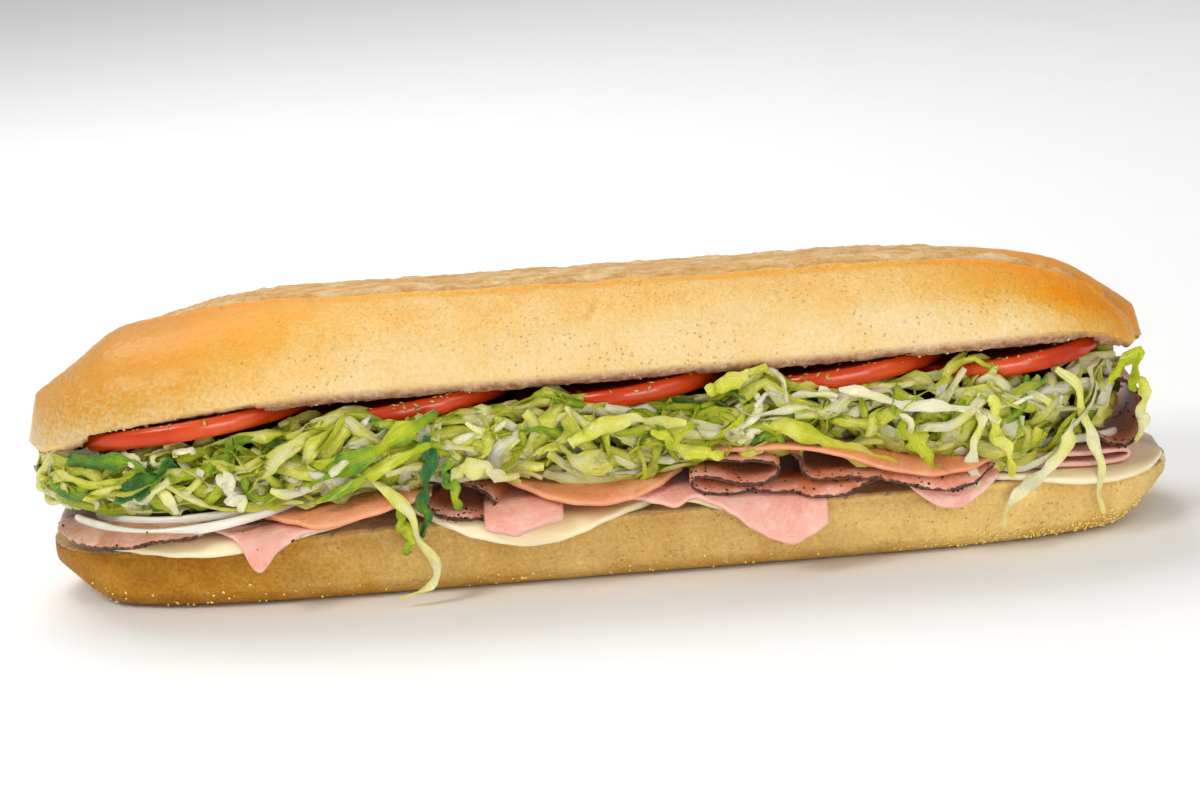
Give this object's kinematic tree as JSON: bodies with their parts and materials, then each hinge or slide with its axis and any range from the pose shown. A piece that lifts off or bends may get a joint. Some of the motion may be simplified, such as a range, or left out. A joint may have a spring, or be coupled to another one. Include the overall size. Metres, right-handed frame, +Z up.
{
  "type": "submarine sandwich",
  "caption": "Long split white roll filled with cheese, folded cold cuts, onion, shredded lettuce and tomato slices, resting on its flat base.",
  "frame": {"origin": "centre of the lower roll half's flat base", "axes": "+X along the roll, -Y to the open front, +Z up"},
  "size_m": [0.3092, 0.0919, 0.0786],
  "materials": {
    "crust": "dry baked crust, satin, finely blistered",
    "crumb": "open matte bread crumb",
    "cheese": "smooth moist slice, satin",
    "ham": "moist slice, satin with a wet sheen",
    "smoked_ham": "moist slice with a dark smoked rim",
    "salami": "moist slice, satin",
    "pastrami": "moist slice with a dark peppered rim",
    "pepper": "cracked pepper, matte",
    "onion": "translucent, moist",
    "lettuce": "crisp leaf, pale green to white, moist",
    "tomato": "wet skin and flesh, glossy",
    "herbs": "dried flakes, matte"
  },
  "bodies": {
    "root": {"bread_bottom": "crust", "cheese_1": "cheese", "cheese_2": "cheese", "cheese_3": "cheese", "cheese_4": "cheese", "smoked_ham": "smoked_ham", "ham_pleat": "ham", "ham_fold": "ham", "ham_flap": "ham", "ham_right": "ham", "ham_turned": "ham", "salami_left": "salami", "salami_middle": "salami", "salami_right": "salami", "pastrami_roll": "pastrami", "pastrami_ribbon": "pastrami", "pastrami_fold": "pastrami", "pastrami_curl": "pastrami", "onion_left": "onion", "onion_middle": "onion", "onion_right": "onion", "lettuce": "lettuce", "tomato_1": "tomato", "tomato_2": "tomato", "tomato_3": "tomato", "tomato_4": "tomato", "tomato_5": "tomato", "bread_top": "crust"}
  },
  "joints": []
}
